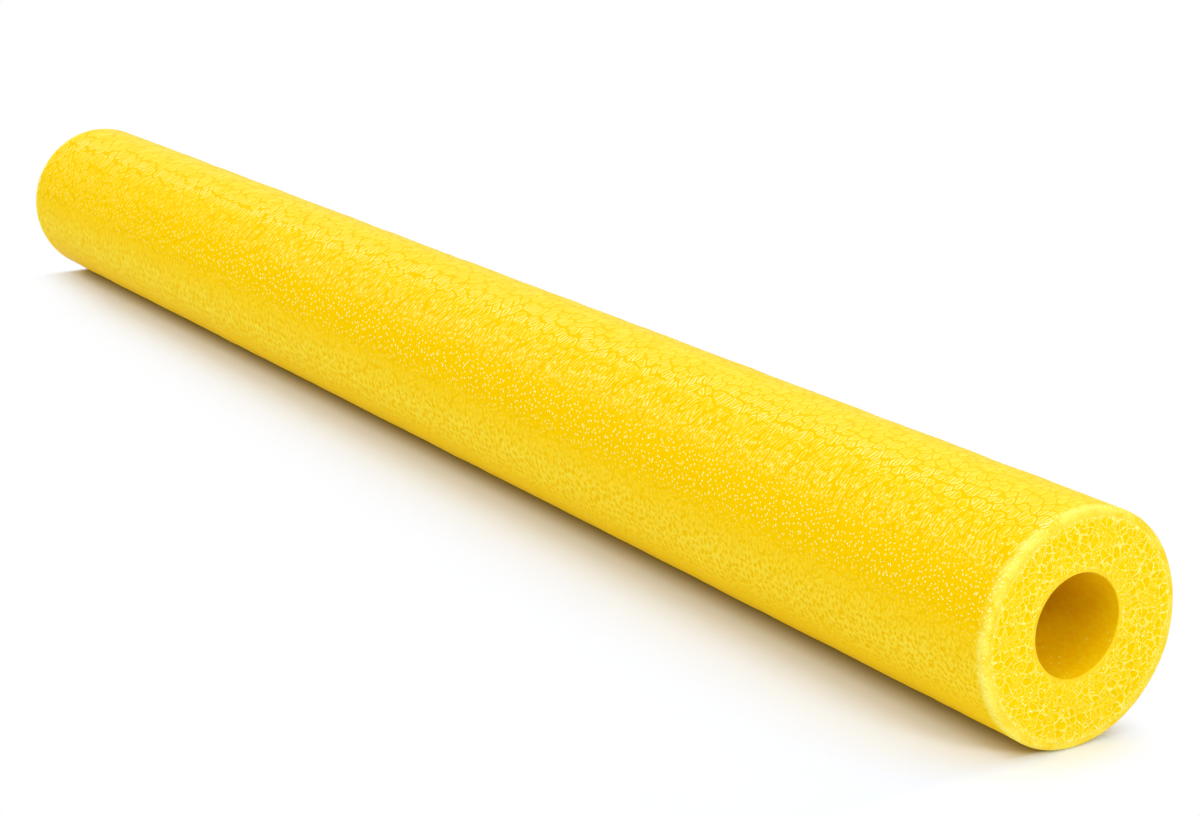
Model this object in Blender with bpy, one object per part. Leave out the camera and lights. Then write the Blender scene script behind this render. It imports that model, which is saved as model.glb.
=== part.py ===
"""Foam pool noodle: one extruded tube of closed-cell polyethylene, as its three bonded layers.

Metres, +Z up. The noodle lies along X on the plane z = 0, and the origin is under its middle.
The outer skin is one layer of closed cells that wraps round both cut ends in a soft rim, the core
is the cellular body, and the bore skin is the smooth film that the die pin leaves round the hole.
"""
import math

import bmesh
import bpy
import numpy as np

MM = 0.001

# Driving dimensions of the extrusion
NOODLE_LENGTH = 660 * MM
NOODLE_DIAMETER = 65 * MM
BORE_DIAMETER = 28.2 * MM

# The die pin sits a little off the middle, so the wall is thicker on one side of the bore
BORE_SHIFT_Y = -1.5 * MM
BORE_SHIFT_Z = 1.4 * MM

# Layers: the skin is as thick as one cell, and the layers keep a hair of clearance
OUTER_SKIN_THICKNESS = 2.0 * MM
BORE_SKIN_THICKNESS = 1.0 * MM
LAYER_GAP = 0.3 * MM

# Edges: the hot knife leaves a round rim outside and a small lip at the mouth of the bore
RIM_RADIUS = 1.5 * MM
BORE_LIP_RADIUS = 0.5 * MM

# The strip along the underside that the noodle's own weight has pressed flat
REST_FLAT_WIDTH = 6.5 * MM

# Facets
RING_POINTS = 96
ROUND_STEPS = 5
SMOOTH_ANGLE = math.radians(35)

# Sizes that follow from the ones above
OUTER_RADIUS = NOODLE_DIAMETER / 2
BORE_RADIUS = BORE_DIAMETER / 2
HALF_LENGTH = NOODLE_LENGTH / 2
REST_HALF_ANGLE = math.asin(REST_FLAT_WIDTH / NOODLE_DIAMETER)
AXIS_HEIGHT = OUTER_RADIUS * math.cos(REST_HALF_ANGLE)
CORE_OUTER_RADIUS = OUTER_RADIUS - OUTER_SKIN_THICKNESS - LAYER_GAP
CORE_INNER_RADIUS = BORE_RADIUS + BORE_SKIN_THICKNESS + LAYER_GAP

# Foam colours as red, green and blue from 0 to 1 on the screen, and how rough each surface is
SKIN_COLOUR = (0.99, 0.82, 0.05)
SKIN_ROUGHNESS = 0.42
CORE_COLOUR = (0.99, 0.89, 0.28)
CORE_ROUGHNESS = 0.60
BORE_COLOUR = (0.93, 0.68, 0.03)
BORE_ROUGHNESS = 0.50


def clear_scene():
    """Take away whatever the file opened with."""
    for thing in list(bpy.data.objects):
        bpy.data.objects.remove(thing, do_unlink=True)


def linear(channel):
    """A screen colour channel as the linear value that the shader wants."""
    if channel <= 0.04045:
        return channel / 12.92
    return ((channel + 0.055) / 1.055) ** 2.4


def foam_material(name, colour, roughness):
    """Plain coloured polyethylene foam."""
    material = bpy.data.materials.new(name)
    material.use_nodes = True
    shader = material.node_tree.nodes["Principled BSDF"]
    shader.inputs["Base Color"].default_value = (*[linear(channel) for channel in colour], 1)
    shader.inputs["Roughness"].default_value = roughness
    shader.inputs["Metallic"].default_value = 0
    return material


def ring(bm, x, radius, shift_y=0, shift_z=0):
    """A circle across the noodle at x, as vertices; the side that closes it is the rest flat."""
    start = REST_HALF_ANGLE - math.pi / 2
    angles = np.linspace(start, math.pi - start, RING_POINTS)
    sides = shift_y + radius * np.cos(angles)
    heights = shift_z + radius * np.sin(angles)
    return [bm.verts.new((x, y, z)) for y, z in zip(sides, heights)]


def rounded_run(wall_radius, corner_radius, outward):
    """Places (x, radius) along one wall from the far end to the near end, both corners rounded.

    The wall is the outer one where outward is 1 and the inner one where it is -1, and each corner
    is a quarter circle that ends in the cut face.
    """
    turns = np.linspace(0, math.pi / 2, ROUND_STEPS + 1)
    in_from_face = corner_radius * (1 - np.sin(turns))
    in_from_wall = corner_radius * (1 - np.cos(turns))
    corner_x = HALF_LENGTH - in_from_face
    corner_r = wall_radius - outward * in_from_wall
    near = list(zip(corner_x, corner_r))
    far = [(-x, r) for x, r in reversed(near)]
    return far + near


def loft(bm, rings):
    """Join each ring to the next and the last to the first, which closes a thick-walled tube."""
    for here, there in zip(rings, rings[1:] + rings[:1]):
        for i in range(RING_POINTS):
            j = (i + 1) % RING_POINTS
            bm.faces.new((here[i], here[j], there[j], there[i]))
    bmesh.ops.recalc_face_normals(bm, faces=bm.faces)


def layer(name, material, parent, build_rings):
    """One layer of the wall as an object of its own, shaded smooth except at its cut edges."""
    bm = bmesh.new()
    loft(bm, build_rings(bm))
    mesh = bpy.data.meshes.new(name)
    bm.to_mesh(mesh)
    bm.free()
    mesh.shade_smooth()
    mesh.set_sharp_from_angle(angle=SMOOTH_ANGLE)
    mesh.materials.append(material)
    body = bpy.data.objects.new(name, mesh)
    bpy.context.scene.collection.objects.link(body)
    body.parent = parent
    return body


def outer_skin_rings(bm):
    """Round the outside with a rim at each end, then back along the wall that faces the core."""
    outside = rounded_run(OUTER_RADIUS, RIM_RADIUS, 1)
    inside_radius = OUTER_RADIUS - OUTER_SKIN_THICKNESS
    inside = [(HALF_LENGTH, inside_radius), (-HALF_LENGTH, inside_radius)]
    return [ring(bm, x, radius) for x, radius in outside + inside]


def foam_core_rings(bm):
    """Centred outside, and round the shifted bore inside, with a square cut face at each end."""
    outside = [ring(bm, x, CORE_OUTER_RADIUS) for x in (-HALF_LENGTH, HALF_LENGTH)]
    inside = [
        ring(bm, x, CORE_INNER_RADIUS, BORE_SHIFT_Y, BORE_SHIFT_Z) for x in (HALF_LENGTH, -HALF_LENGTH)
    ]
    return outside + inside


def bore_skin_rings(bm):
    """The film round the hole: its back against the core, its mouth lips rounded."""
    back_radius = BORE_RADIUS + BORE_SKIN_THICKNESS
    back = [(HALF_LENGTH, back_radius), (-HALF_LENGTH, back_radius)]
    mouth = rounded_run(BORE_RADIUS, BORE_LIP_RADIUS, -1)
    return [ring(bm, x, radius) for x, radius in mouth + back]


def main():
    clear_scene()
    axis = bpy.data.objects.new("noodle_axis", None)
    axis.location = (0, 0, AXIS_HEIGHT)
    bpy.context.scene.collection.objects.link(axis)

    skin_foam = foam_material("skin_foam", SKIN_COLOUR, SKIN_ROUGHNESS)
    core_foam = foam_material("core_foam", CORE_COLOUR, CORE_ROUGHNESS)
    bore_foam = foam_material("bore_foam", BORE_COLOUR, BORE_ROUGHNESS)

    layer("outer_skin", skin_foam, axis, outer_skin_rings)
    layer("foam_core", core_foam, axis, foam_core_rings)
    bore_skin = layer("bore_skin", bore_foam, axis, bore_skin_rings)
    bore_skin.location = (0, BORE_SHIFT_Y, BORE_SHIFT_Z)


main()
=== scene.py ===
import math

import bpy
import numpy as np
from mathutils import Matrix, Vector


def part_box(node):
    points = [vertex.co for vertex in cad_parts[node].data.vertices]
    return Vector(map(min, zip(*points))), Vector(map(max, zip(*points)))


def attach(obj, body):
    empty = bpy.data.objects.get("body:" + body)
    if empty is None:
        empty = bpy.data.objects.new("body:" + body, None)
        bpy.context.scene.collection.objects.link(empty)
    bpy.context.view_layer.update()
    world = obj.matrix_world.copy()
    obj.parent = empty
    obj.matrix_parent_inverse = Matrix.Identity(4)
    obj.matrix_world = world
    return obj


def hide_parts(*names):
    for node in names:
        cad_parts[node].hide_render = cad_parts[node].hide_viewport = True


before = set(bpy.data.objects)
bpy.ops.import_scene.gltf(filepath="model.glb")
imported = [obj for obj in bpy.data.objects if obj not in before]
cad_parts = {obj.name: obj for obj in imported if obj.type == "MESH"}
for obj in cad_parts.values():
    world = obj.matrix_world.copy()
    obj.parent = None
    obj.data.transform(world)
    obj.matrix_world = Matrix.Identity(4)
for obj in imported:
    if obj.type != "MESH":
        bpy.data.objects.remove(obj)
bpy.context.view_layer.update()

mm = 0.001


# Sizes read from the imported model

_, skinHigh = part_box("outer_skin")
_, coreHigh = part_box("foam_core")
boreLow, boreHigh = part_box("bore_skin")

outerRadius = skinHigh[1]
halfLength = skinHigh[0]
axisHeight = skinHigh[2] - outerRadius
skinWall = outerRadius - coreHigh[1]
boreBack = (boreHigh[1] - boreLow[1]) / 2
boreSide = (boreHigh[1] + boreLow[1]) / 2
boreLift = boreHigh[2] - boreBack - axisHeight
# The bore film's thickness, as in the part's source
boreWall = 1.0 * mm


# Numpy helpers for foam

def smooth(x, low, high):
    # Smoothstep: 0 below low, 1 above high, an S curve of 3k^2 - 2k^3 between them
    k = np.clip((x - low) / (high - low), 0, 1)
    return k * k * (3 - 2 * k)


def softNoise(u, v, size, wrap, seed):
    # Random values on a lattice of this size, from -1 to 1, blended with S curves between its points;
    # wrap is the number of lattice steps after which v repeats
    a, b = u / size, v / size
    i, j = np.floor(a).astype(int), np.floor(b).astype(int)
    low = i.min()
    table = np.random.default_rng(seed).uniform(-1, 1, (i.max() - low + 2, wrap))
    i, j, fa, fb = i - low, j % wrap, a - np.floor(a), b - np.floor(b)
    fa, fb = fa * fa * (3 - 2 * fa), fb * fb * (3 - 2 * fb)
    k = (j + 1) % wrap
    near = table[i, j] * (1 - fb) + table[i, k] * fb
    far = table[i + 1, j] * (1 - fb) + table[i + 1, k] * fb
    return near * (1 - fa) + far * fa


def scatter(i, j):
    # The random point of each lattice box i, j, by the integer hash of the Voronoi texture node, so that
    # the relief made here and the colours made in the shaders share their cells
    found = []
    x, y = [np.asarray(k, np.float32).view(np.uint32) for k in (i, j)]
    for count, extra in ((2, 0.0), (3, 1.0)):
        start = np.uint32(0xDEADBEEF + 4 * count + 13)
        a, b, c = x + start, y + start, start + np.float32(extra).view(np.uint32)
        for k in (14, 11, 25, 16, 4, 14, 24):
            turned = (b << np.uint32(k)) | (b >> np.uint32(32 - k))
            a, b, c = b, (c ^ b) - turned, a
        found.append((b / 0xFFFFFFFF).astype(np.float32))
    return found


def foamCells(u, v, jitter):
    # u and v are places in lattice boxes; each box has one random point, and each place belongs to the
    # nearest one. Returns the distance to that point, the distance to the cell's border, which is half
    # way between two points and square to the line that joins them, a random tone for the cell, and how
    # much that border runs across u (1) rather than along it (0)
    beyond = 9.0
    tonePitch = 7.31, 3.77
    i, j = np.floor(u).astype(int), np.floor(v).astype(int)
    lowI, lowJ = i.min() - 2, j.min() - 2
    grid = np.meshgrid(np.arange(lowI, i.max() + 3), np.arange(lowJ, j.max() + 3), indexing="ij")
    pointU, pointV = scatter(*grid)
    steps = [(m, n) for m in range(-2, 3) for n in range(-2, 3)]

    def offset(m, n):
        at = i + m - lowI, j + n - lowJ
        toU, toV = i + m + jitter * pointU[at] - u, j + n + jitter * pointV[at] - v
        return toU.astype(np.float32), toV.astype(np.float32)

    best = np.full(u.shape, beyond, np.float32)
    nearU, nearV = np.zeros_like(best), np.zeros_like(best)
    for m, n in steps:
        pu, pv = offset(m, n)
        d = pu * pu + pv * pv
        closer = d < best
        best = np.where(closer, d, best)
        nearU, nearV = np.where(closer, pu, nearU), np.where(closer, pv, nearV)
    # A point is no neighbour of itself, which the two tiny values below see to
    border, across = np.full(u.shape, beyond, np.float32), np.zeros_like(best)
    for m, n in steps:
        pu, pv = offset(m, n)
        apartU, apartV = pu - nearU, pv - nearV
        apart = np.maximum(np.sqrt(apartU * apartU + apartV * apartV), 1e-6)
        half = ((pu + nearU) * apartU + (pv + nearV) * apartV) / (2 * apart)
        half = np.where(apart > 1e-4, half, beyond)
        closer = half < border
        border = np.where(closer, half, border)
        across = np.where(closer, np.abs(apartU) / apart, across)
    tone = np.modf(np.abs((u + nearU) * tonePitch[0] + (v + nearV) * tonePitch[1]))[0]
    return np.sqrt(best), border, tone, across


def ringMesh(name, points, fields, material, strips):
    # points is (rings, columns, 3); each ring joins the next, the last joins the first, and each ring is
    # closed, so the body is a closed tube; fields are point attributes on the same grid. The map unrolls
    # the tube into this many strips that fill the square between them
    rings, columns = points.shape[:2]
    index = np.arange(rings * columns).reshape(rings, columns)
    right, down = np.roll(index, -1, 1), np.roll(index, -1, 0)
    quads = np.stack([index, right, np.roll(down, -1, 1), down], -1).reshape(-1, 4)
    mesh = bpy.data.meshes.new(name)
    mesh.vertices.add(rings * columns)
    mesh.vertices.foreach_set("co", points.astype(np.float32).ravel())
    mesh.loops.add(quads.size)
    mesh.loops.foreach_set("vertex_index", quads.astype(np.int32).ravel())
    mesh.polygons.add(len(quads))
    mesh.polygons.foreach_set("loop_start", np.arange(0, quads.size, 4, dtype=np.int32))
    mesh.update(calc_edges=True)
    mesh.shade_smooth()
    first, column = np.divmod(np.arange(rings * columns)[:, None], columns)
    length = math.ceil(rings / strips)
    strip = first // length
    along = (first + np.array([0, 0, 1, 1]) - strip * length) / length
    across = ((column + np.array([0, 1, 1, 0])) / columns + strip) / strips
    unrolled = mesh.uv_layers.new(name="OFBake", do_init=False)
    unrolled.uv.foreach_set("vector", np.stack([along, across], -1).astype(np.float32).ravel())
    for key, values in fields.items():
        kind, member = ("FLOAT", "value") if values.ndim == 2 else ("FLOAT_VECTOR", "vector")
        attribute = mesh.attributes.new(key, kind, "POINT")
        attribute.data.foreach_set(member, values.astype(np.float32).ravel())
    mesh.materials.append(material)
    piece = bpy.data.objects.new(name, mesh)
    bpy.context.scene.collection.objects.link(piece)
    return piece


def around(count):
    # Equal angles up from the side that faces the camera, starting under the noodle
    return np.arange(count) * (2 * math.pi / count) - math.pi / 2


def rounded(reach, cell, form):
    # Takes a little off the border's distance away from a cell's point, so that cells get round corners
    return cell - form["roundBy"] * np.maximum(reach - form["roundFrom"], 0)


# Shader helper

class Wire:
    # A socket that Python sums work on; node() adds any other node, whose inputs are named, with _ for a
    # space, or counted as at0, at1 and so on
    def __init__(self, tree, socket=None):
        self.tree, self.socket = tree, socket

    def node(self, kind, settings=None, out=0, **inputs):
        made = self.tree.nodes.new("ShaderNode" + kind)
        for key, value in (settings or {}).items():
            setattr(made, key, value)
        for key, value in inputs.items():
            socket = made.inputs[int(key[2:]) if key[:2] == "at" else key.replace("_", " ")]
            if isinstance(value, Wire):
                self.tree.links.new(value.socket, socket)
            else:
                socket.default_value = value
        return Wire(self.tree, made.outputs[out])

    def maths(self, operation, *values):
        inputs = {f"at{i}": value for i, value in enumerate(values)}
        return self.node("Math", {"operation": operation}, **inputs)

    def __add__(self, other):
        return self.maths("ADD", self, other)

    def __neg__(self):
        return self.maths("MULTIPLY", self, -1)

    def __sub__(self, other):
        return self.maths("SUBTRACT", self, other)

    def __rsub__(self, other):
        return self.maths("SUBTRACT", other, self)

    def __mul__(self, other):
        return self.maths("MULTIPLY", self, other)

    def __pow__(self, other):
        return self.maths("POWER", self, other)

    __radd__, __rmul__ = __add__, __mul__

    def atLeast(self, value):
        return self.maths("MAXIMUM", self, value)

    def step(self, low, high):
        return self.node("MapRange", {"interpolation_type": "SMOOTHSTEP"}, Value=self, at1=low, at2=high)

    def mix(self, first, second):
        # first where this value is 0 and second where it is 1
        return self.node("Mix", {"data_type": "RGBA"}, out=2, at0=self, at6=first, at7=second)

    def field(self, key, out="Fac"):
        return self.node("Attribute", {"attribute_name": key}, out=out)

    def cells(self, feature, scale, jitter, turn=0):
        # The Voronoi pattern on this flat place, stretched by scale; its lattice is turned after that
        place = self.node("Mapping", None, Vector=self, Scale=(*scale, 1), Rotation=(0, 0, turn))
        kind = {"voronoi_dimensions": "2D", "feature": feature}
        return self.node("TexVoronoi", kind, "Distance", Vector=place, Scale=1, Randomness=jitter)

    def band(self, low, high, width):
        # 1 between low and high, falling off within width on both sides
        return self.step(low - width, low) * (1 - self.step(high, high + width))


def screen(red, green, blue):
    # A colour as it looks on the screen, made linear for the shader
    linear = [c / 12.92 if c <= 0.04045 else ((c + 0.055) / 1.055) ** 2.4 for c in (red, green, blue)]
    return (*linear, 1)


def newMaterial(name):
    material = bpy.data.materials.new(name)
    material.use_nodes = True
    tree = material.node_tree
    tree.nodes.clear()
    wire = Wire(tree)
    output = tree.nodes.new("ShaderNodeOutputMaterial")
    return material, wire, output


def finishMaterial(wire, output, look, colour, height, relief=1):
    # One shader for all the foam; the bump is the height in metres, times relief
    normal = wire.node("Bump", None, "Normal", Strength=1, Distance=relief, Height=height)
    shader = wire.node(
        "BsdfPrincipled", None, "BSDF", Base_Color=colour, Roughness=look["roughness"], Normal=normal,
        Specular_IOR_Level=look["specular"],
    )
    wire.tree.links.new(shader.socket, output.inputs["Surface"])


def speckle(place, scale, detail):
    # A smooth random value from 0 to 1
    return place.node("TexNoise", None, "Fac", Vector=place, Scale=scale, Detail=detail)


# Outer skin

skinLook = {
    "body": (0.983, 0.810, 0.0),
    "pale": (0.99, 0.942, 0.35),
    "rim": (0.988, 0.935, 0.39),
    "lemon": (1.0, 0.96, 0.08),
    "lineAndHighlight": (1.0, 1.0, 0.72),
    "paintedGlint": (1.0, 1.0, 0.68),
    "paintedShade": (0.964, 0.785, 0.0),
    "roughness": 0.30,
    "specular": 0.002,
    "rimHighlightShare": 0.85,
    "lemonShare": 0.55,
    "paintedGlintShare": 0.8,
    "clouding": 0.25,
    "lineRelief": 0.06 * mm,
    "beadRelief": 0.05 * mm,
    "pitRelief": 0.06 * mm,
    "grain": 0.006 * mm,
    "grainScale": 1500,
    "cloudScale": 190,
    "fleckScale": 720,
}

skinForm = {
    "rings": 1500,
    # How much of the ring spacing grows with the distance from the near end, which the camera sees
    # twice as large as the far one
    "spread": 0.26,
    # Degrees from and to, and the steps between: finer on the side that the camera sees
    "front": (-66, 121, 340),
    "back": (121, 294, 180),
    "rim": 1.7 * mm,
    "cellAlong": 2.7 * mm,
    "cellAround": 3.6 * mm,
    # How much larger the cells are at the far end, as a share of their size at the near end
    "growth": 1.05,
    # How far noise moves the cells along and around, and its steps round the noodle
    "wander": (0.35 * mm, 0.7 * mm),
    "wanderCount": 80,
    "jitter": 0.9,
    "roundFrom": 0.45,
    "roundBy": 0.35,
    "cellHeight": 0.14 * mm,
    "pillowEdge": 0.16,
    "pillowLevel": 0.45,
    # Each grid is a count of small cells to one scale, along and around
    "pitGrid": (1.4, 1.9),
    "pitJitter": 0.6,
    "pitReach": 0.45,
    "pitDepth": 0.07 * mm,
    "beadGrid": (1.8, 2.4),
    "beadJitter": 0.8,
    "grainGrid": (1.65, 0.70),
    "grainJitter": 0.6,
    "grainTurn": 0.55,
    "beadTurn": 0.4,
    "tickGrid": (0.9, 3.3),
    "wave": 0.12 * mm,
    "longWaves": 16,
    "shortWaves": 36,
    "rimFade": 3.0 * mm,
    "patternFade": 1.0 * mm,
    # The turn in degrees at which the top's look gives way behind, and how fast
    "backFrom": 125,
    "backRate": 1.24,
}

# Where each mark lies in its cell, as a distance from the border (groove, edge, inner, tick) or from the
# cell's point; a third number is the width over which a band fades
skinMarks = {
    "groove": (0.02, 0.13),
    "edge": (0.14, 0.20, 0.065),
    "inner": (0.35, 0.39, 0.05),
    "tick": (0.12, 0.20, 0.08),
    "ridge": (0.44, 0.52, 0.10),
    "hollow": (0.16, 0.42),
    "gap": (0.44, 0.56),
    "loop": (0.33, 0.38, 0.07),
    "bead": (0.05, 0.40),
    "tip": (0.09, 0.22),
}

# How strongly each pattern shows as the skin turns up from below (-50 degrees) to the top (90): pits on
# the flank, fine beads on the shoulder, long narrow grains above them and scales on top; the last row is
# a painted sheen, palest on top and on the lower flank, where the lamps above and the floor would reflect
skinBands = {
    "lift": (-50, -40, -30, -20, -10, 0, 8, 16, 24, 32, 40, 48, 56, 64, 72, 90),
    "scales": (0, 0.1, 0.25, 0.35, 0.45, 0.5, 0.45, 0.3, 0.2, 0.15, 0.1, 0.15, 0.45, 0.92, 0.85, 0.55),
    "grains": (0, 0, 0, 0, 0, 0, 0, 0, 0, 0.3, 0.85, 1, 0.8, 0.2, 0, 0),
    "beads": (0, 0, 0, 0, 0, 0.05, 0.3, 0.9, 1, 0.9, 0.5, 0.2, 0.1, 0, 0, 0),
    "pits": (0, 0.3, 0.9, 1, 0.9, 0.5, 0.2, 0, 0, 0, 0, 0, 0, 0, 0, 0.2),
    "paintedSheen": (0.2, 0.3, 0.46, 0.58, 0.57, 0.42, 0.2, 0, 0, 0, 0, 0.05, 0.15, 0.3, 0.46, 0.73),
}

# What changes between these shares of the length: scales spread over the grains and beads, and the small
# patterns lose these shares of their strength
farEnd = {
    "from": 0.55,
    "to": 0.95,
    "overGrains": 0.45,
    "overBeads": 0.45,
    "scaleLoss": 0.15,
    "mostScales": 0.85,
    # The scales get a little more painted sheen towards the far end
    "scaleSheen": 0.08,
    "losses": {"grains": 0.75, "beads": 0.6, "pits": 0.3, "paintedSheen": -0.05},
}


def skinMaterial():
    look, form, marks = skinLook, skinForm, skinMarks
    material, wire, output = newMaterial("skinFoam")
    reach, tone, across = [wire.field(key) for key in ("reach", "tone", "across")]
    scales, grains, beads = [wire.field(key) for key in ("scales", "grains", "beads")]
    pits, paintedSheen, rim = [wire.field(key) for key in ("pits", "paintedSheen", "rim")]
    flat = wire.field("place", "Vector")
    place = wire.node("TexCoord", None, "Object")
    grain = speckle(place, look["grainScale"], 1)
    cloud = speckle(place, look["cloudScale"], 3)
    fleck = speckle(place, look["fleckScale"], 1)
    corner = (reach - form["roundFrom"]).atLeast(0) * form["roundBy"]
    cell = flat.cells("DISTANCE_TO_EDGE", (1, 1), form["jitter"]) - corner
    dot = flat.cells("F1", form["beadGrid"], form["beadJitter"], form["beadTurn"])
    pit = flat.cells("F1", form["pitGrid"], form["pitJitter"])
    long = flat.cells("F1", form["grainGrid"], form["grainJitter"], form["grainTurn"])
    groove = (1 - cell.step(*marks["groove"])) * scales
    # Noise breaks the fine lines up, and a scale's edge is palest, with the most painted highlight, where
    # it runs across the noodle
    broken = fleck.step(0.36, 0.52)
    edge = cell.band(*marks["edge"]) * scales ** 2 * (across.step(0.2, 0.8) * 0.5 + 0.62)
    inner = cell.band(*marks["inner"]) * scales.step(0.55, 0.95) * broken
    ridge = pit.band(*marks["ridge"]) * pits
    gap = long.step(*marks["gap"]) * grains
    loop = long.band(*marks["loop"]) * grains * (broken * 0.5 + 0.5)
    bead = (1 - dot.step(*marks["bead"])) * beads
    # Painted glints: near-white dots on the beads and on the rim
    tip = (1 - dot.step(*marks["tip"])) * (beads + rim * 0.6) * fleck.step(0.34, 0.42)
    hollow = (1 - pit.step(*marks["hollow"])) * pits
    tick = flat.cells("DISTANCE_TO_EDGE", form["tickGrid"], form["jitter"]).band(*marks["tick"]) * rim
    # How much painted shade, how pale and how bright a place is: sums of its marks, each with its own
    # strength.
    # The painted shade darkens the grooves, the gaps between grains, the pits and the whole shoulder band
    # of beads and grains; the paleness is the painted sheen band with random clouding
    paintedShade = groove * 0.9 + gap * 0.85 + hollow * 0.9 + (beads + grains * 0.3) * 0.45
    pale = paintedSheen * (tone * 0.3 + 0.85) + (cloud - 0.5) * look["clouding"]
    lineAndHighlight = edge + inner * 0.4 + loop * 0.76 + tick * 0.55 + ridge * 0.3
    # Powers, because a pale line is lemon at its edges and near white only along its middle, where it is a
    # painted highlight
    colour = (pale.atLeast(0) ** 2).mix(screen(*look["body"]), screen(*look["pale"]))
    # Painted shade: the deeper colour in the recesses and over the shoulder band
    colour = paintedShade.mix(colour, screen(*look["paintedShade"]))
    # Painted highlight along the rolled rim, broken up by noise
    colour = (rim * cloud.step(0.25, 0.6) * look["rimHighlightShare"]).mix(colour, screen(*look["rim"]))
    colour = (lineAndHighlight * look["lemonShare"]).mix(colour, screen(*look["lemon"]))
    colour = (lineAndHighlight ** 3).mix(colour, screen(*look["lineAndHighlight"]))
    # The painted glints go on last
    colour = (tip * look["paintedGlintShare"]).mix(colour, screen(*look["paintedGlint"]))
    height = (edge * 0.5 - groove) * look["lineRelief"] + bead * look["beadRelief"]
    height = height - hollow * look["pitRelief"] + grain * look["grain"]
    finishMaterial(wire, output, look, colour, height)
    return material


def outerSkin():
    form = skinForm
    girth = 2 * math.pi * outerRadius
    turn = np.concatenate([np.linspace(*form[side], endpoint=False) for side in ("front", "back")])
    # The look of the top goes on a little way down the back
    lift = np.where(turn < 90, turn, 90 - np.maximum(turn - form["backFrom"], 0) * form["backRate"])
    arc = np.radians(turn) * outerRadius
    side, up = -np.cos(np.radians(turn)), np.sin(np.radians(turn))
    # The profile runs out over the near rim, along the side and in over the far rim: a land on the cut
    # face, a quarter circle and a straight side. Its places are arc lengths, closer together at the
    # near end
    corner = form["rim"] * math.pi / 2
    land = skinWall - form["rim"]
    total = 2 * (land + corner + halfLength - form["rim"])
    share = np.linspace(0, 1, form["rings"])
    path = total * ((1 - form["spread"]) * share + form["spread"] * share ** 2)
    fromEnd = np.minimum(path, total - path)
    swing = np.clip((fromEnd - land) / form["rim"], 0, math.pi / 2)
    outward = outerRadius - skinWall + np.minimum(fromEnd, land) + form["rim"] * np.sin(swing)
    inward = form["rim"] * (1 - np.cos(swing)) + np.maximum(fromEnd - land - corner, 0)
    end = np.where(path < total / 2, 1, -1)
    x = end * (halfLength - inward)
    normalX, normalR = end * np.cos(swing), np.sin(swing)
    q, s = np.meshgrid(path, arc, indexing="ij")
    count = form["wanderCount"]
    wander = [size * softNoise(q, s, girth / count, count, 3 + k) for k, size in enumerate(form["wander"])]
    # The cells grow slowly towards the far end, so their count along the side is a logarithm
    growth = form["growth"] / total
    u = np.log1p(growth * (q + wander[0])) / (growth * form["cellAlong"])
    v = (s + wander[1]) / (form["cellAround"] * (1 + growth * q))
    reach, cell, tone, across = foamCells(u, v, form["jitter"])
    cell = rounded(reach, cell, form)
    pit, *_ = foamCells(u * form["pitGrid"][0], v * form["pitGrid"][1], form["pitJitter"])
    # The patterns fade out on the rim, which has a painted pale highlight of its own, a little weaker on
    # the cut face
    bare = smooth(fromEnd, 0.3 * corner, corner + form["patternFade"])[:, None]
    bands = {key: values for key, values in skinBands.items() if key != "lift"}
    drawn = {key: np.interp(lift, skinBands["lift"], values)[None] * bare for key, values in bands.items()}
    rim = 0.55 + 0.45 * smooth(fromEnd, 0, land + 0.6 * corner)
    rim = (1 - smooth(fromEnd, corner, corner + form["rimFade"])) * rim
    rim = rim[:, None] + 0 * q
    far = smooth(q / total, farEnd["from"], farEnd["to"])
    finer = farEnd["overGrains"] * drawn["grains"] + farEnd["overBeads"] * drawn["beads"]
    drawn["paintedSheen"] = drawn["paintedSheen"] + farEnd["scaleSheen"] * far * drawn["scales"]
    drawn["scales"] = drawn["scales"] * (1 - farEnd["scaleLoss"] * far) + far * finer
    drawn["scales"] = np.minimum(drawn["scales"], farEnd["mostScales"])
    for key, loss in farEnd["losses"].items():
        drawn[key] = drawn[key] * (1 - loss * far)
    # A scale is a pillow that falls off near its border, and a pit is a bowl round its cell's point
    pillow = 1 - np.exp(-np.maximum(cell, 0) / form["pillowEdge"])
    hollow = np.clip(1 - (pit / form["pitReach"]) ** 2, 0, 1)
    longWave = softNoise(q, s, girth / form["longWaves"], form["longWaves"], 5)
    shortWave = softNoise(q, s, girth / form["shortWaves"], form["shortWaves"], 6)
    wave = longWave + 0.5 * shortWave
    height = drawn["scales"] * form["cellHeight"] * (pillow - form["pillowLevel"])
    height += form["wave"] * wave - drawn["pits"] * form["pitDepth"] * hollow
    height *= smooth(fromEnd, 0, land + corner)[:, None]
    radius = outward[:, None] + normalR[:, None] * height
    points = np.stack([
        x[:, None] + normalX[:, None] * height, radius * side, np.maximum(axisHeight + radius * up, 0),
    ], -1)
    inner = outerRadius - skinWall
    wall = [
        np.stack([0 * side + at, inner * side, axisHeight + inner * up], -1)
        for at in (-halfLength, halfLength)
    ]
    place = np.stack([u, v, 0 * u], -1)
    fields = {"place": place, "reach": reach, "tone": tone, "across": across, "rim": rim, **drawn}
    # The two rings of the inner wall carry no pattern
    fields = {key: np.concatenate([values, 0 * values[:2]]) for key, values in fields.items()}
    piece = ringMesh("outerSkinFoam", np.concatenate([points, wall]), fields, skinMaterial(), 2)
    print("outer skin", points.shape)
    return piece


# Core, with its cut faces

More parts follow.
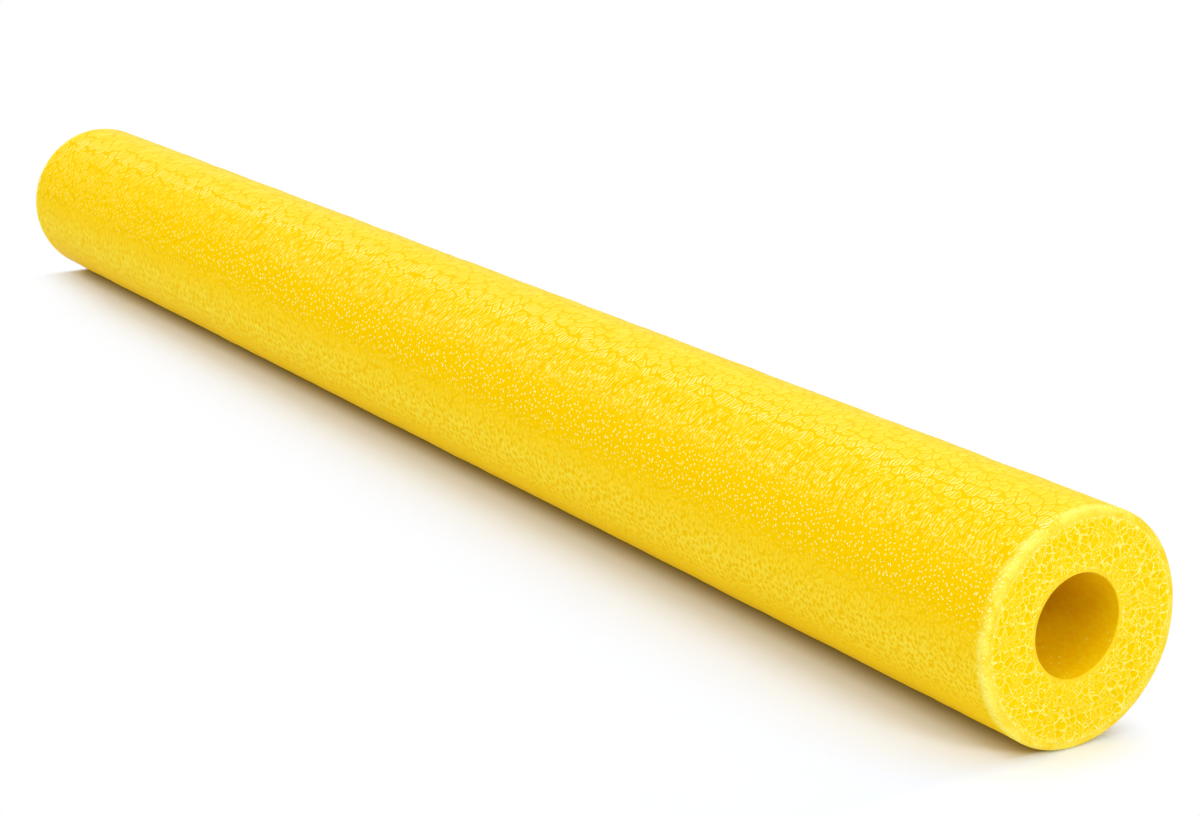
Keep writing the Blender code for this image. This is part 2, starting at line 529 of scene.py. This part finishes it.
coreLook = {
    "body": (0.972, 0.832, 0.0),
    "lemon": (0.985, 0.925, 0.05),
    "wall": (0.985, 0.965, 0.56),
    "paintedGlint": (1.0, 1.0, 0.66),
    "paintedShade": (0.962, 0.795, 0.0),
    "roughness": 0.30,
    "specular": 0.002,
    "lemonShare": 0.45,
    "paintedGlintShare": 0.7,
    "clouding": 0.2,
    "wallRelief": 0.04 * mm,
    "grain": 0.008 * mm,
    "grainScale": 1400,
    "cloudScale": 220,
    "fleckScale": 700,
}

coreForm = {
    "around": 840,
    "faceRings": 78,
    "cell": 2.3 * mm,
    "jitter": 0.8,
    "roundFrom": 0.45,
    "roundBy": 0.35,
    "roundDrawn": 0.4,
    "fineGrid": (1.9, 1.9),
    "beadGrid": (1.6, 1.6),
    "depth": 0.18 * mm,
    # Where the face begins to calm down towards the skin, as a share of the wall
    "calmFrom": 0.86,
    "seeds": (21, 41),
    # Two sizes of swirl that bend the walls: how far they move them in mm, over what size, and after how
    # many sizes the noise repeats
    "swirls": ((0.8, 1.9 * mm, 64), (0.1, 0.8 * mm, 96)),
    "spokeGap": 1.3 * mm,
    "spokeReach": 3.6 * mm,
    "spokeJitter": 0.9,
}

# As for the skin; ray is measured between the spokes, and the painted glints from the point of their own
# small cells
coreMarks = {
    "film": (0.03, 0.10),
    "sunkShade": (0.07, 0.20),
    "opened": (0.07, 0.30),
    "partial": (0.03, 0.11),
    "ray": (0.02, 0.12),
    "loop": (0.27, 0.30, 0.07),
    "paintedGlint": (0.09, 0.20),
}


def coreMaterial():
    look, form, marks = coreLook, coreForm, coreMarks
    material, wire, output = newMaterial("cutFoam")
    reach, tone, calm, spokes = [wire.field(key) for key in ("reach", "tone", "calm", "spokes")]
    flat, polar = wire.field("place", "Vector"), wire.field("polar", "Vector")
    place = wire.node("TexCoord", None, "Object")
    grain = speckle(place, look["grainScale"], 1)
    cloud = speckle(place, look["cloudScale"], 3)
    fleck = speckle(place, look["fleckScale"], 1)
    corner = (reach - form["roundFrom"]).atLeast(0) * form["roundDrawn"]
    cell = flat.cells("DISTANCE_TO_EDGE", (1, 1), form["jitter"]) - corner
    fine = flat.cells("DISTANCE_TO_EDGE", form["fineGrid"], form["jitter"])
    dot = flat.cells("F1", form["beadGrid"], 1.0)
    spoke = polar.cells("DISTANCE_TO_EDGE", (1, 1), form["spokeJitter"])
    # Cells of a low tone are shallow and show a round loop, the others are open with a film between them
    shallow = 1 - tone.step(0.4, 0.5)
    film = (1 - cell.step(*marks["film"])) * (fleck.step(0.3, 0.5) * 0.2 + 0.8) * (1 - shallow * 0.3)
    loop = flat.cells("F1", (1, 1), form["jitter"]).band(*marks["loop"]) * shallow
    partial = (1 - fine.step(*marks["partial"])) * cloud.step(0.46, 0.56)
    ray = (1 - spoke.step(*marks["ray"])) * spokes
    wall = film.atLeast(partial * 0.4).atLeast(ray * 0.85).atLeast(loop * 0.9) * (calm * 0.5 + 0.5)
    # Painted shade: the pushed-in cells of a high tone get the deeper colour
    sunkShade = tone.step(0.5, 0.95) * cell.step(*marks["sunkShade"]) * calm
    # Painted glints: near-white dots, more of them towards the skin
    paintedGlint = (1 - dot.step(*marks["paintedGlint"])) * (fleck.step(0.51, 0.56) + (1 - calm) * 0.4)
    colour = (sunkShade * 0.5).mix(screen(*look["body"]), screen(*look["paintedShade"]))
    # Pale walls, paler towards the skin, random clouding and the painted glints
    pale = wall * 0.78 + (1 - calm) * 0.5 + (cloud - 0.5) * look["clouding"] + paintedGlint * 0.8
    pale = pale.atLeast(0)
    colour = (pale * look["lemonShare"]).mix(colour, screen(*look["lemon"]))
    colour = (pale ** 3).mix(colour, screen(*look["wall"]))
    colour = (paintedGlint * calm * look["paintedGlintShare"]).mix(colour, screen(*look["paintedGlint"]))
    height = wall * look["wallRelief"] + grain * look["grain"]
    finishMaterial(wire, output, look, colour, height)
    return material


def cutFace(turn, end, seed):
    # A cut end between the bore and the skin: circles that move from the bore's centre to the noodle's
    # as they grow, pushed in between the walls of the opened cells
    form = coreForm
    share = np.linspace(0, 1, form["faceRings"])[:, None]
    radius = boreBack + share * (outerRadius - skinWall - boreBack)
    side = boreSide * (1 - share) - radius * np.cos(turn)[None]
    up = boreLift * (1 - share) + radius * np.sin(turn)[None]
    swirl = []
    for k in (0, 5):
        wide, small = [
            by * softNoise(side, up, size, repeat, seed + k + order)
            for order, (by, size, repeat) in enumerate(form["swirls"])
        ]
        swirl.append((wide + small) * mm)
    u, v = (side + swirl[0]) / form["cell"] + seed, (up + swirl[1]) / form["cell"]
    reach, cell, tone, _ = foamCells(u, v, form["jitter"])
    cell = rounded(reach, cell, form)
    calm = 1 - smooth(share, form["calmFrom"], 1.0) + 0 * turn[None]
    # The cells of a high tone are pushed in deepest
    opened = smooth(cell, *coreMarks["opened"]) * (0.3 + 0.7 * smooth(tone, 0.45, 0.8))
    opened = opened * smooth(share, 0.0, 0.08)
    points = np.stack([end * (halfLength - form["depth"] * calm * opened), side, axisHeight + up], -1)
    # Places for the lines that run out from the bore, as turns round it and distances from its edge
    out = radius - boreBack + 0 * turn[None]
    swing = (turn[None] * boreBack + swirl[0]) / form["spokeGap"]
    polar = np.stack([swing, out / form["spokeReach"], 0 * out], -1)
    spokes = 1 - smooth(out, 0.4 * form["spokeReach"], form["spokeReach"])
    fields = {"reach": reach, "tone": tone, "calm": calm, "spokes": spokes}
    return points, {"place": np.stack([u, v, 0 * u], -1), "polar": polar, **fields}


def foamCore():
    form = coreForm
    turn = around(form["around"])
    near, nearFields = cutFace(turn, 1, form["seeds"][0])
    far, farFields = cutFace(turn, -1, form["seeds"][1])
    points = np.concatenate([near, far[::-1]])
    fields = {key: np.concatenate([nearFields[key], farFields[key][::-1]]) for key in nearFields}
    piece = ringMesh("cellularCore", points, fields, coreMaterial(), 1)
    print("foam core", points.shape)
    return piece


# Bore skin

boreLook = {
    "light": (1.0, 0.86, 0.02),
    "dark": (1.0, 0.81, 0.0),
    "speck": (1.0, 0.96, 0.4),
    "speckShare": 0.7,
    "roughness": 0.38,
    "specular": 0.25,
    "streakScale": 900,
    "speckScale": 330,
    "relief": 0.06 * mm,
}

boreForm = {
    "around": 240,
    "rings": 110,
    "lipRings": 8,
    "lip": 0.5 * mm,
}


def boreMaterial():
    look = boreLook
    material, wire, output = newMaterial("boreFoam")
    place = wire.node("TexCoord", None, "Object")
    drawn = wire.node("Mapping", None, Vector=place, Scale=(0.5, 1, 1))
    streak = speckle(drawn, look["streakScale"], 3)
    spots = {"Vector": place, "Scale": look["speckScale"], "Randomness": 1}
    speck = 1 - wire.node("TexVoronoi", {"feature": "F1"}, "Distance", **spots).step(0.07, 0.17)
    colour = streak.step(0.3, 0.7).mix(screen(*look["dark"]), screen(*look["light"]))
    colour = (speck * look["speckShare"]).mix(colour, screen(*look["speck"]))
    finishMaterial(wire, output, look, colour, streak, look["relief"])
    return material


def boreSkin():
    # A tube whose profile runs in over one rounded lip, along the bore and out over the other, and back
    # along its outside
    form = boreForm
    turn = around(form["around"])
    lip = form["lip"]
    corner = lip * math.pi / 2
    land = boreWall - lip
    total = 2 * (land + corner + halfLength - lip)
    tip = np.linspace(0, land + corner, form["lipRings"])
    middle = np.linspace(land + corner, total - land - corner, form["rings"])[1:-1]
    path = np.concatenate([tip, middle, total - tip[::-1]])
    fromEnd = np.minimum(path, total - path)
    swing = np.clip((fromEnd - land) / lip, 0, math.pi / 2)
    radius = boreBack - np.minimum(fromEnd, land) - lip * np.sin(swing)
    inward = lip * (1 - np.cos(swing)) + np.maximum(fromEnd - land - corner, 0)
    x = np.where(path < total / 2, -1, 1) * (halfLength - inward)
    x = np.concatenate([x, [halfLength, -halfLength]])[:, None]
    radius = np.concatenate([radius, [boreBack, boreBack]])[:, None]
    points = np.stack([
        x + 0 * turn[None], boreSide - radius * np.cos(turn)[None],
        axisHeight + boreLift + radius * np.sin(turn)[None],
    ], -1)
    piece = ringMesh("boreLining", points, {}, boreMaterial(), 2)
    print("bore", points.shape)
    return piece


skinPiece = outerSkin()
corePiece = foamCore()
borePiece = boreSkin()
for piece, node, slot in (
    (skinPiece, "outer_skin", "skin_foam"),
    (corePiece, "foam_core", "core_foam"),
    (borePiece, "bore_skin", "bore_foam"),
):
    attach(piece, "root")
    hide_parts(node)


# Studio

studio = {
    # Each lamp: where it stands, where it looks, its width, its height and its brightness (1 is white)
    "lamps": {
        "overhead": ((-0.4, 0.7, 2.4), (-0.4, 0.7, 0), 8.0, 4.6, 0.93),
        "front": ((0.1, -2.3, 1.52), (0, 0, 0), 3.0, 1.8, 1.62),
        "glint": ((-2.03, -0.82, 1.21), (0, 0, 0), 0.38, 0.38, 18),
        "side": ((2.2, -0.1, 1.15), (0.33, 0, 0), 0.6, 0.6, 16.4),
    },
    "fill": 0.15,
    "floorSize": 16.0,
    "floorDrop": 0.05 * mm,
    "floorAlbedo": 0.92,
    # The paper's colours for the rays that show it: beside the noodle, in a painted contact shadow under
    # it and past its ends
    "floorSeen": (0.84, 0.89, 1.01),
    "floorPaintedShadow": (0.54, 0.46, 0.17),
    "floorBeyond": (0.95, 0.98, 1.04),
    # Distances in metres over which the painted contact shadow ends, the ends' colour comes in and the
    # paper turns white; past the ends and behind the noodle they count for more
    "paintedShadowReach": (0.007, 0.022),
    "ends": (0.0, 0.08),
    "fade": (0.06, 0.175),
    "endLead": 0.005,
    "endRate": 6.5,
    "backRate": 5,
    # How much sooner the paper turns white towards the far end: its value at the middle, its fall per
    # metre, and the extra rise near the far end with the place where it starts
    "narrowing": (2.2, 3),
    "lastNarrowing": (0.25, 15),
}


def areaLamp(name, place, target, width, height, brightness):
    lamp = bpy.data.lights.new(name, "AREA")
    lamp.shape = "RECTANGLE"
    lamp.size, lamp.size_y = width, height
    lamp.energy = brightness * math.pi * width * height
    holder = bpy.data.objects.new(name, lamp)
    bpy.context.scene.collection.objects.link(holder)
    holder.location = place
    holder.rotation_euler = (Vector(target) - Vector(place)).to_track_quat("-Z", "Y").to_euler()


for name, values in studio["lamps"].items():
    areaLamp(name, *values)


def shownRay(wire):
    # 1 for the rays that show the white background: the camera's, and those that come by mirror or glass
    camera, mirror, glass = [
        wire.node("LightPath", None, f"Is {kind} Ray") for kind in ("Camera", "Glossy", "Transmission")
    ]
    return camera.atLeast(mirror).atLeast(glass)


world = bpy.data.worlds.new("studioAir")
bpy.context.scene.world = world
world.use_nodes = True
world.node_tree.nodes.clear()
air = Wire(world.node_tree)
strength = shownRay(air) * (1 - studio["fill"]) + studio["fill"]
backdrop = air.node("Background", None, Color=(1, 1, 1, 1), Strength=strength)
air.tree.links.new(backdrop.socket, air.tree.nodes.new("ShaderNodeOutputWorld").inputs["Surface"])


def studioFloor():
    material, wire, output = newMaterial("floorPaper")
    seen = shownRay(wire)
    place = wire.node("TexCoord", None, "Object")
    # Distance from the noodle's middle line; far from its shadow the paper is plain white
    along, beside = [wire.node("SeparateXYZ", None, axis, Vector=place) for axis in "XY"]
    past = ((along * along) ** 0.5 - halfLength + studio["endLead"]).atLeast(0) * studio["endRate"]
    beside = (beside * studio["backRate"]).atLeast(-beside)
    away = (beside * beside + past * past) ** 0.5
    # The shadow gets narrower towards the far end
    (atMiddle, fall), (start, rise) = studio["narrowing"], studio["lastNarrowing"]
    clear = away * ((atMiddle - along * fall).atLeast(1) + (-along - start).atLeast(0) * rise)
    plain = (studio["floorAlbedo"],) * 3 + (1,)
    # A painted contact shadow, darker and yellower, along the noodle's foot for the rays that show the
    # paper
    shown = away.step(*studio["paintedShadowReach"]).mix((*studio["floorPaintedShadow"], 1), (*studio["floorSeen"], 1))
    shown = past.step(*studio["ends"]).mix(shown, (*studio["floorBeyond"], 1))
    paper = wire.node("BsdfDiffuse", None, Color=seen.mix(plain, shown))
    white = wire.node("Emission", None, Color=(1, 1, 1, 1), Strength=1.0)
    shading = seen * clear.step(*studio["fade"])
    mixed = wire.node("MixShader", None, at0=shading, at1=paper, at2=white)
    wire.tree.links.new(mixed.socket, output.inputs["Surface"])
    half = studio["floorSize"] / 2
    mesh = bpy.data.meshes.new("floor")
    corners = [(-half, -half, 0), (half, -half, 0), (half, half, 0), (-half, half, 0)]
    mesh.from_pydata(corners, [], [(0, 1, 2, 3)])
    mesh.materials.append(material)
    floor = bpy.data.objects.new("floor", mesh)
    bpy.context.scene.collection.objects.link(floor)
    floor.location.z = -studio["floorDrop"]


studioFloor()
print("studio")


# Camera

view = {
    "place": (0.7680, -0.4234, 0.2631),
    "bearing": math.radians(147.54),
    "dip": math.radians(16.09),
    "lens": 75.50,
    "sensor": 36,
    "clip": (0.01, 50),
}
lens = bpy.data.cameras.new("camera")
lens.lens = view["lens"]
lens.sensor_width = view["sensor"]
lens.clip_start, lens.clip_end = view["clip"]
eye = bpy.data.objects.new("camera", lens)
bpy.context.scene.collection.objects.link(eye)
eye.location = view["place"]
eye.rotation_euler = (math.pi / 2 - view["dip"], 0, view["bearing"] - math.pi / 2)
bpy.context.scene.camera = eye
bpy.context.scene.view_settings.view_transform = "Standard"
